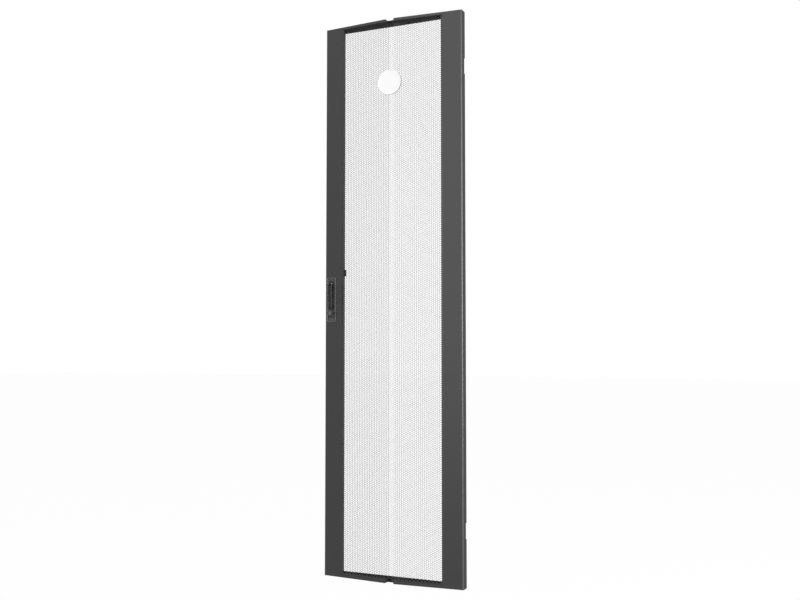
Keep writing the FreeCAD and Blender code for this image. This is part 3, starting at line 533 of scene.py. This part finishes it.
def repeat(bm, count, step):
    """Copy all that is in the bmesh, count times in all, each copy a step further."""
    first = bm.verts[:] + bm.edges[:] + bm.faces[:]
    for i in range(1, count):
        copy = bmesh.ops.duplicate(bm, geom=first)["geom"]
        verts = [item for item in copy if isinstance(item, bmesh.types.BMVert)]
        bmesh.ops.translate(bm, verts=verts, vec=Vector(step) * i)


def cell_field():
    """Solid six-sided cells over one half of the door, flat, with the first on the crease."""
    bm = bmesh.new()
    bmesh.ops.create_circle(bm, cap_ends=True, segments=6, radius=CELL_REACH)
    bmesh.ops.rotate(bm, verts=bm.verts[:], matrix=Matrix.Rotation(math.radians(90), 3, "X"))
    bmesh.ops.rotate(bm, verts=bm.verts[:], matrix=Matrix.Rotation(math.radians(30), 3, "Y"))
    tall = max(v.co.z for v in bm.verts)
    bmesh.ops.scale(bm, verts=bm.verts[:], vec=(1, 1, CELL_RISE / 2 / tall))
    repeat(bm, ROWS, (0, 0, CELL_RISE))
    repeat(bm, 2, (CELL_STEP, 0, CELL_RISE / 2))
    repeat(bm, COLUMNS // 2, (2 * CELL_STEP, 0, 0))
    bmesh.ops.remove_doubles(bm, verts=bm.verts[:], dist=MERGE_GAP)
    high = (ROWS - 0.5) * CELL_RISE
    bmesh.ops.translate(bm, verts=bm.verts[:], vec=(0, 0, (HEIGHT - high + CELL_RISE) / 2))
    return bm


def stretch(bm, chosen, axis, value):
    """Extrude the chosen border edges to a straight line."""
    edges = [edge for edge in bm.edges if edge.is_boundary and chosen(edge)]
    grown = bmesh.ops.extrude_edge_only(bm, edges=edges)["geom"]
    for vert in grown:
        if isinstance(vert, bmesh.types.BMVert):
            vert.co[axis] = value


field = cell_field()
print("cells:", len(field.faces), "corners:", len(field.verts))

# %% [markdown]
# ### A straight border
# The honeycomb ends in a zigzag, but the field of the door has straight sides with whole holes.
# So the zigzag edges are extruded to the three border lines before the holes are opened.

# %% Border of the field
SLACK = 0.1 * MM
far_side = max(v.co.x for v in field.verts) - CELL_REACH / 2


def far_border(edge):
    """True for a border edge on the side of the field that is away from the crease."""
    return min(v.co.x for v in edge.verts) > far_side - SLACK


def across_the_field(edge):
    """True for a border edge that isn't on the two upright border lines."""
    return abs(edge.verts[0].co.x - edge.verts[1].co.x) > SLACK


def low_border(edge):
    """True for a border edge at the foot of the field."""
    return across_the_field(edge) and edge.verts[0].co.z < HEIGHT / 2


def high_border(edge):
    """True for a border edge at the top of the field."""
    return across_the_field(edge) and edge.verts[0].co.z > HEIGHT / 2


stretch(field, far_border, 0, FIELD_OUT)
stretch(field, low_border, 2, MARGIN)
stretch(field, high_border, 2, HEIGHT - MARGIN)
print("cells and border:", len(field.faces), "faces")

# %% [markdown]
# ### The holes
# Every cell is inset and its middle is deleted, which leaves the web. The first columns beside
# the crease have a web of their own: slim on the right half, where it shows as a pale line down
# the door, and broad on the left. The fold runs through a column of holes, so the field is cut
# along the middle of that column.

# %% Open the holes
SLIM_COLUMNS = 3
BROAD_COLUMNS = 1
CUT_GAP = 1e-7


def open_holes(bm, near_columns, near_web):
    """Open every cell; the columns nearest to the crease keep a web of their own width."""
    cells = [face for face in bm.faces if len(face.verts) == 6]
    reach = (near_columns - 0.5) * CELL_STEP
    near = [face for face in cells if face.calc_center_median().x < reach]
    rest = [face for face in cells if face.calc_center_median().x >= reach]
    for faces, web in ((near, near_web), (rest, WEB)):
        bmesh.ops.inset_individual(
            bm, faces=faces, thickness=web / 2, depth=0, use_even_offset=True)
    bmesh.ops.delete(bm, geom=cells, context="FACES")
    everything = bm.verts[:] + bm.edges[:] + bm.faces[:]
    bmesh.ops.bisect_plane(bm, geom=everything, dist=CUT_GAP, plane_no=(1, 0, 0), clear_inner=True)


fields = {"right": field, "left": field.copy()}
open_holes(fields["right"], SLIM_COLUMNS, SLIM_WEB)
open_holes(fields["left"], BROAD_COLUMNS, BROAD_WEB)
print("web faces:", [len(bm.faces) for bm in fields.values()])

# %% [markdown]
# ### The notches in the web
# The relief notch at each end of the crease runs on into the web. Two planes, along the notch's
# side and along its floor, cut the faces near it, and those inside the notch are deleted. The
# cuts leave some slivers, which are dissolved, because a thickened sliver grows a long spike.

# %% Cut the notches into the web
NOTCH_NEAR = 40 * MM
SLIVER = 0.02 * MM


def cut_notch(bm, end, way):
    """Cut the notch at one end of the crease; way is 1 at the foot and -1 at the top."""
    slope = Vector((NOTCH_DROP, 0, NOTCH_MOUTH - NOTCH_FLOOR)).normalized()
    lip = Vector((NOTCH_MOUTH, 0, end))
    out = Vector((slope.x, 0, way * slope.z))
    floor = Vector((0, 0, end + way * NOTCH_DROP))
    for spot, normal in ((lip, out), (floor, Vector((0, 0, way)))):
        near = [f for f in bm.faces if (f.calc_center_median() - lip).length < NOTCH_NEAR]
        parts = set(near)
        for face in near:
            parts.update(face.edges)
            parts.update(face.verts)
        bmesh.ops.bisect_plane(bm, geom=list(parts), dist=CUT_GAP, plane_co=spot, plane_no=normal)
    lost = []
    for face in bm.faces:
        point = face.calc_center_median()
        if (point - lip).dot(out) < 0 and (point - floor).z * way < 0:
            lost.append(face)
    bmesh.ops.delete(bm, geom=lost, context="FACES")


for bm in fields.values():
    cut_notch(bm, 0, 1)
    cut_notch(bm, HEIGHT, -1)
    bmesh.ops.dissolve_degenerate(bm, dist=SLIVER, edges=bm.edges[:])
    bm.normal_update()
    if sum(face.normal.y for face in bm.faces) > 0:
        bmesh.ops.reverse_faces(bm, faces=bm.faces[:])
print("web faces round the notches:", [len(bm.faces) for bm in fields.values()])

# %% [markdown]
# ### Four sheets of web
# The fields are laid on both halves of the face. The left one is turned over, so its faces are
# reversed to look forwards again. Each half is kept as a lower and an upper piece, which keeps
# every piece light enough to handle.

# %% Lay the web on the leaf
half_turn = Matrix.Rotation(FOLD, 3, "Z")
for side, side_name in ((1, "right"), (-1, "left")):
    for part_name, keep_low in (("lower", True), ("upper", False)):
        web = fields[side_name].copy()
        surplus = [f for f in web.faces if (f.calc_center_median().z < HEIGHT / 2) != keep_low]
        bmesh.ops.delete(web, geom=surplus, context="FACES")
        bmesh.ops.rotate(web, verts=web.verts[:], matrix=half_turn)
        bmesh.ops.translate(web, verts=web.verts[:], vec=(0, -CREASE_DEPTH, 0))
        if side < 0:
            bmesh.ops.scale(web, verts=web.verts[:], vec=(-1, 1, 1))
            bmesh.ops.reverse_faces(web, faces=web.faces[:])
        bmesh.ops.translate(web, verts=web.verts[:], vec=LEAF)
        sheet = piece(f"perforation_{side_name}_{part_name}", web, "powder_coat", smooth=30)
        thicken(sheet, folded=False)
    fields[side_name].free()

# %% [markdown]
# ## The round badge
# A disc with a raised rim is turned work: its half profile is drawn once and spun about the axis.
# A spun back would be flat, so the points of its edge are then set back on to the two slopes of
# the leaf, and the badge straddles the crease without a gap. Its face is white, and its sloped edge
# is grey as painted shade.

# %% Spin the badge
BADGE_DROP = 258.5 * MM
BADGE_MIDDLE = Vector((0, -CREASE_DEPTH, HEIGHT - BADGE_DROP))
BADGE_RADIUS = 51
BADGE_STEPS = 128
EDGE_TILT = 0.5
SEAM_GAP = 0.001 * MM
BACK_GAP = 0.01 * MM
BADGE_PROFILE = (
    (0, 0), (BADGE_RADIUS, 0), (BADGE_RADIUS, 1.5), (50.7, 2.2), (50.1, 2.8), (49.3, 3),
    (47.4, 3), (46.8, 2.85), (46.3, 2.5), (45.6, 2.3), (30, 2.4), (0, 2.5),
)


def turned(profile, steps):
    """Spin a profile of millimetres, (radius, height to the front), about the y axis."""
    bm = bmesh.new()
    verts = [bm.verts.new((radius * MM, -height * MM, 0)) for radius, height in profile]
    edges = [bm.edges.new(pair) for pair in zip(verts, verts[1:])]
    bmesh.ops.spin(
        bm, geom=verts + edges, axis=(0, 1, 0), angle=math.tau, steps=steps, use_merge=True)
    bmesh.ops.remove_doubles(bm, verts=bm.verts[:], dist=SEAM_GAP)
    bmesh.ops.recalc_face_normals(bm, faces=bm.faces[:])
    return bm


badge = turned(BADGE_PROFILE, BADGE_STEPS)
for vert in badge.verts:
    if abs(vert.co.y) < BACK_GAP:
        vert.co.y = abs(vert.co.x) * math.tan(FOLD)
bmesh.ops.translate(badge, verts=badge.verts[:], vec=LEAF + BADGE_MIDDLE)
badge.normal_update()
# painted shade: the faces of the badge's sloped edge take the grey
for face in badge.faces:
    if abs(face.normal.y) < EDGE_TILT:
        face.material_index = 1
piece("turned_badge", badge, "badge", nodes=["round_badge"], more=[BADGE_EDGE_SHADE], smooth=50)

# %% [markdown]
# ## Solid pieces with eased edges
# Brackets, rods, clamps and mouldings already have their true shape in CAD, but a CAD edge is
# perfectly sharp and catches no light. A copy of each solid is merged, its flat faces are joined
# again, and its sharp edges get a small bevel, as deburring or a mould's radius leaves them.

# %% Ease the edges of the solids
CAD_GAP = 0.002 * MM
FLAT_ANGLE = math.radians(1)
SHARP_ANGLE = math.radians(35)


def eased(node, slot, body, radius, segments=2, finish=None, more=(), where=None):
    """A copy of a CAD solid with eased edges; a test on each face may pick another finish."""
    bm = bmesh.new()
    bm.from_mesh(frame["nodes"][node].data)
    bmesh.ops.remove_doubles(bm, verts=bm.verts[:], dist=CAD_GAP)
    bmesh.ops.dissolve_limit(
        bm, angle_limit=FLAT_ANGLE, verts=bm.verts[:], edges=bm.edges[:], delimit={"NORMAL"})
    sharp = [e for e in bm.edges if e.is_manifold and e.calc_face_angle(0) > SHARP_ANGLE]
    round_edges(bm, sharp, radius, segments, clamp=True)
    bm.normal_update()
    if where:
        for face in bm.faces:
            face.material_index = where(face)
    name = f"{node}_eased"
    made = piece(name, bm, slot, body=body, nodes=[node], finish=finish, more=more, smooth=45)
    flatten_shading(made)


EASING = {
    "powder_coat": 0.5 * MM,
    "dish": 0.5 * MM,
    "lever": 0.8 * MM,
    "plated": 0.25 * MM,
    "steel": 0.25 * MM,
    "lock_face": 0.3 * MM,
    "guide": 0.4 * MM,
}
OWN_CELL = ("door_skin", "round_badge", "handle_dish", "handle_lever", "lever_pin")
record = frame["record"]
slots = {part["node"]: part["material_slot"] for part in record["subparts"]}
bodies = {node: body for body, group in record["behaviour"]["bodies"].items() for node in group}
for node, slot in slots.items():
    if node not in OWN_CELL:
        inner = FRAME_COAT if slot == "powder_coat" else None
        eased(node, slot, bodies[node], EASING[slot], finish=inner)

# %% [markdown]
# ### Dish, lever and pin
# The handle has more than one finish. The rim of the dish and the faces of its ramp that look up
# are a lighter grey than its deck as a painted highlight, the left inner edge of the rim is lighter
# still as a painted highlight, and the floor of the finger pocket is a lighter grey as painted
# light, which shows as a line beside the lever. A test on each face picks its finish from a short
# list, by how far the face lies in front of the leaf and which way it looks.

# %% Finishes of the handle
LEFT_CORNER = LEAF + Vector((-HALF, 0, 0))
OUT_OF_LEAF = Vector((-math.sin(FOLD), -math.cos(FOLD), 0))
RIM_LEVEL = 1.8 * MM
RAMP_TILT = (0.3, 0.95)
LEFT_RIM = 13 * MM
LOOKS_RIGHT = 0.25
POCKET_LEVEL = -8 * MM
LOOKS_OUT = 0.9
PIN_ROUND = 0.95 * MM


def dish_finish(face):
    """0 for black, 1 for the painted highlight on the rim and ramp, 2 for the painted highlight on
    the rim's left inner edge, 3 for the painted light on the pocket floor.
    """
    spot = face.calc_center_median() - LEFT_CORNER
    high = spot.dot(OUT_OF_LEAF)
    # painted light on the floor of the finger pocket
    if high < POCKET_LEVEL and face.normal.dot(OUT_OF_LEAF) > LOOKS_OUT:
        return 3
    # painted highlight on the rim's left inner edge
    if high > 0 and spot.x < LEFT_RIM and face.normal.x > LOOKS_RIGHT:
        return 2
    # painted highlight on the rim and on the ramp faces that look up
    if high > RIM_LEVEL or RAMP_TILT[0] < face.normal.z < RAMP_TILT[1]:
        return 1
    return 0


def lever_finish(face):
    """0 for the front, 1 for every face that doesn't look to the front, which gets the flank's
    painted highlight.
    """
    return int(face.normal.dot(OUT_OF_LEAF) < LOOKS_OUT)


# painted highlights on the rim and its inner edge, painted light in the pocket
dish_painted_light = [DISH_RIM_HIGHLIGHT, RIM_EDGE_HIGHLIGHT, POCKET_PAINTED_LIGHT]
eased("handle_dish", "dish", "door", EASING["dish"], more=dish_painted_light, where=dish_finish)
# the lever's flank takes the lighter black as a painted highlight
eased(
    "handle_lever", "lever", "lever", EASING["lever"], segments=3,
    more=[LEVER_FLANK_HIGHLIGHT], where=lever_finish)
eased("lever_pin", "steel", "drum", PIN_ROUND, segments=5, finish=POLISHED)

# %% [markdown]
# ## Floor and background
# The photograph has a plain white background. The floor looks white to the camera, and to
# anything glossy, because nearly all of what they see of it glows at strength 1. The small rest
# is a matt surface that takes a soft shadow.

# %% Floor
FLOOR_GLOW = 0.98
FLOOR_HALF = 30
FLOOR_LEVEL = skin_low.z - 0.5 * MM


def seen_directly(finish):
    """1 for what the camera, a reflection or a clear surface sees, 0 for light that fills in."""
    rays = finish.node("ShaderNodeLightPath", output="Is Camera Ray")
    glossy = finish.node("ShaderNodeLightPath", output="Is Glossy Ray")
    clear = finish.node("ShaderNodeLightPath", output="Is Transmission Ray")
    return rays + glossy + clear


paper = Finish(bpy.data.materials.new("white studio floor"))
matt = paper.node("ShaderNodeBsdfDiffuse", {}, {"Color": (0.8, 0.8, 0.8, 1)})
glow = paper.node("ShaderNodeEmission", {}, {"Color": (1, 1, 1, 1), "Strength": 1.0})
share = FLOOR_GLOW * seen_directly(paper)
mixed = paper.node("ShaderNodeMixShader", {}, {0: share, 1: matt, 2: glow})
paper.node("ShaderNodeOutputMaterial", {}, {"Surface": mixed})

ground = bmesh.new()
bmesh.ops.create_grid(ground, x_segments=1, y_segments=1, size=FLOOR_HALF)
bmesh.ops.translate(ground, verts=ground.verts[:], vec=(0, 0, FLOOR_LEVEL))
floor_mesh = bpy.data.meshes.new("studio_floor")
ground.to_mesh(floor_mesh)
ground.free()
floor_mesh.materials.append(paper.owner)
studio_floor = bpy.data.objects.new("studio_floor", floor_mesh)
bpy.context.scene.collection.objects.link(studio_floor)
print("floor at", round(FLOOR_LEVEL, 4))

# %% [markdown]
# ### The world
# The world does what the floor does: it is white to look at, and a quieter source of light. The
# plain Standard view leaves the colours as they are.

# %% World
AMBIENT = 0.23
sky = Finish(bpy.data.worlds.new("white studio"))
bpy.context.scene.world = sky.owner
looked_at = sky.node("ShaderNodeBackground", {}, {"Color": (1, 1, 1, 1), "Strength": 1.0})
filling = sky.node("ShaderNodeBackground", {}, {"Color": (1, 1, 1, 1), "Strength": AMBIENT})
both = sky.node("ShaderNodeMixShader", {}, {0: seen_directly(sky), 1: filling, 2: looked_at})
sky.node("ShaderNodeOutputWorld", {}, {"Surface": both})
bpy.context.scene.view_settings.view_transform = "Standard"
print("world:", sky.owner.name)

# %% [markdown]
# ## Lamps
# Four soft lamps light the door at a plain level, so that the badge's white doesn't clip. The
# front lamp stands a little to the left, where the right half of the face mirrors it towards the
# camera. The side and edge lamps stand to the right, for the lever's flank and the side return.
# The top lamp picks out what looks up: the rims, the ramp of the dish and the top edges.

# %% Lamps


def lamp(name, place, target, wide, tall, watts):
    """A rectangular lamp of so many metres that looks at a target."""
    light = bpy.data.lights.new(name, "AREA")
    light.shape = "RECTANGLE"
    light.size = wide
    light.size_y = tall
    light.energy = watts
    made = bpy.data.objects.new(name, light)
    made.location = place
    made.rotation_euler = (Vector(target) - Vector(place)).to_track_quat("-Z", "Y").to_euler()
    bpy.context.scene.collection.objects.link(made)


middle = LEAF + Vector((0, 0, HEIGHT / 2))
LAMPS = (
    ("front lamp", (-0.35, -3.5, 0.7), 1.6, 3.6, 39),
    ("side lamp", (2.9, -2.1, 0.6), 0.6, 2.0, 44),
    ("edge lamp", (3.7, 0.1, 0.3), 0.6, 2.2, 100),
    ("top lamp", (-0.3, -1.6, 3.0), 1.4, 0.8, 29),
)
for name, away, wide, tall, watts in LAMPS:
    lamp(name, middle + Vector(away), middle, wide, tall, watts)
print(len(LAMPS), "lamps")

# %% [markdown]
# ## Camera
# The photograph was taken from the right of the door, a little below its middle. The angles, the
# distance and the lens come from fitting the leaf's corners and edges to the photograph.

# %% Camera
YAW = 0.4288
PITCH = 0.0538
AIM = Vector((35.57, 0, 1100.1)) * MM
DISTANCE = 3.7784
LENS = 43.18
SENSOR = 36
level = math.cos(PITCH)
look = Vector((-math.sin(YAW) * level, math.cos(YAW) * level, math.sin(PITCH)))
lens = bpy.data.cameras.new("photo camera")
lens.sensor_width = SENSOR
lens.lens = LENS
camera = bpy.data.objects.new("photo camera", lens)
camera.location = LEAF + AIM - look * DISTANCE
camera.rotation_euler = look.to_track_quat("-Z", "Y").to_euler()
bpy.context.scene.collection.objects.link(camera)
bpy.context.scene.camera = camera
print("camera at", tuple(round(c, 3) for c in camera.location))
